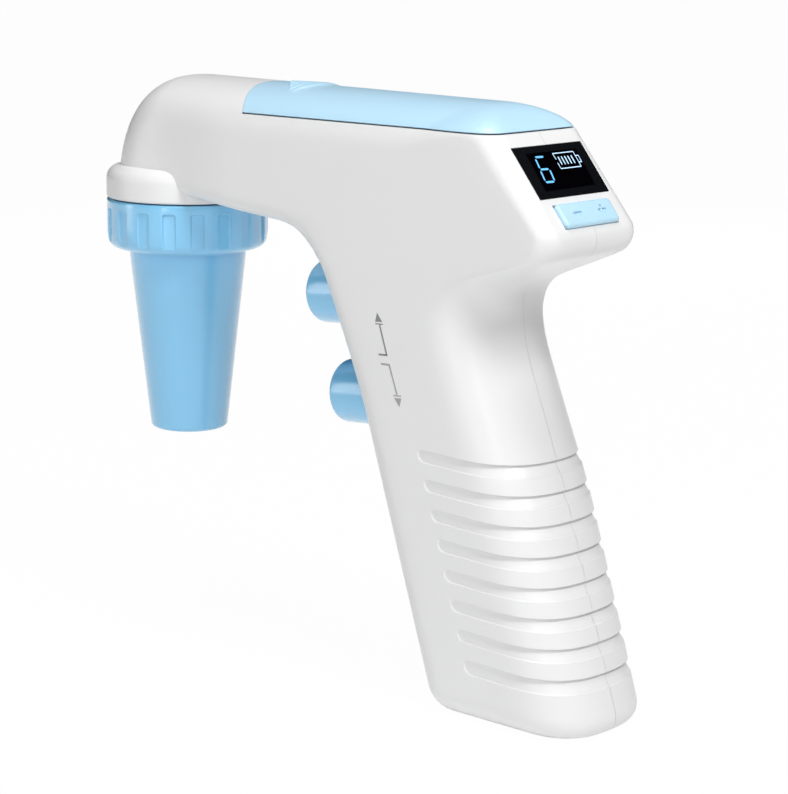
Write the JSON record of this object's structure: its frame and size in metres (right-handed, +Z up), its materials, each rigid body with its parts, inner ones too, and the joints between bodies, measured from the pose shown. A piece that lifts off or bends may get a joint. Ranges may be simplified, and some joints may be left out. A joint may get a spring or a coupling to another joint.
{
  "type": "pipette controller",
  "caption": "Pistol-shaped battery pipette controller with a conical pipette nose, two finger triggers, sloping display, rocker key and sliding battery cover.",
  "frame": {"origin": "centre of the bounding box's bottom face, level with the foot of the grip", "axes": "+X from the nose cone towards the display and grip, +Y across the two housing halves, +Z up along the nose axis"},
  "size_m": [0.1486, 0.038, 0.132],
  "materials": {
    "housing_white": "satin, fine moulded grain",
    "cover_blue": "satin",
    "nose_blue": "satin",
    "window_black": "polished",
    "board_green": "solder mask",
    "glass_grey": "polished",
    "silicone": "matt, translucent",
    "steel": "plated",
    "cell_wrap": "shrink sleeve",
    "black_plastic": "matt",
    "grey_plastic": "satin",
    "seal_rubber": "matt"
  },
  "bodies": {
    "housing": {"housing_left": "housing_white", "housing_right": "housing_white", "battery_tray": "black_plastic", "battery_cell": "cell_wrap", "battery_contact": "steel", "battery_spring": "steel", "nose_spigot": "grey_plastic", "hydrophobic_filter": "silicone", "display_window": "window_black", "lcd_module": "glass_grey", "display_board": "board_green", "speed_down_switch": "black_plastic", "speed_up_switch": "black_plastic", "rocker_pin": "steel", "valve_block": "grey_plastic", "pump_head": "black_plastic", "pump_motor": "steel", "nose_tube": "silicone", "suction_tube": "silicone", "pressure_tube": "silicone", "main_board": "board_green", "charge_socket": "black_plastic", "housing_screw_1": "steel", "housing_screw_2": "steel", "housing_screw_3": "steel", "housing_screw_4": "steel", "housing_screw_5": "steel"},
    "battery_cover": {"battery_cover": "cover_blue"},
    "pipette_holder": {"pipette_holder": "silicone"},
    "nose_cone": {"nose_cone": "nose_blue"},
    "speed_rocker": {"speed_rocker": "cover_blue"},
    "aspirate_trigger": {"aspirate_trigger": "nose_blue", "aspirate_stem": "steel", "aspirate_seal": "seal_rubber", "aspirate_spring": "steel"},
    "dispense_trigger": {"dispense_trigger": "nose_blue", "dispense_stem": "steel", "dispense_seal": "seal_rubber", "dispense_spring": "steel"}
  },
  "joints": [
    {"name": "cover_slide", "type": "slide", "parent": "housing", "child": "battery_cover", "axis": [1, 0, 0], "range_m": [0, 0.074]},
    {"name": "holder_slide", "type": "slide", "parent": "housing", "child": "pipette_holder", "axis": [0, 0, -1], "range_m": [0, 0.006]},
    {"name": "cone_turn", "type": "hinge", "parent": "pipette_holder", "child": "nose_cone", "pos_m": [-0.05527, 0, 0.1026], "axis": [0, 0, -1], "range_deg": [0, 720]},
    {"name": "rocker_tilt", "type": "hinge", "parent": "housing", "child": "speed_rocker", "pos_m": [0.06153, 0, 0.10738], "axis": [0.6266, 0, -0.7794], "range_deg": [-3, 3], "stiffness_Nm_per_rad": 0.3},
    {"name": "aspirate_press", "type": "slide", "parent": "housing", "child": "aspirate_trigger", "axis": [0.9976, 0, 0.0698], "range_m": [0, 0.005], "stiffness_N_per_m": 400, "springref_m": -0.003, "deforming": ["aspirate_spring"]},
    {"name": "dispense_press", "type": "slide", "parent": "housing", "child": "dispense_trigger", "axis": [0.9976, 0, 0.0698], "range_m": [0, 0.005], "stiffness_N_per_m": 400, "springref_m": -0.003, "deforming": ["dispense_spring"]}
  ],
  "couplings": [
    {"joint": "holder_slide", "follows": "cone_turn", "m_per_rad": 0.000477}
  ]
}
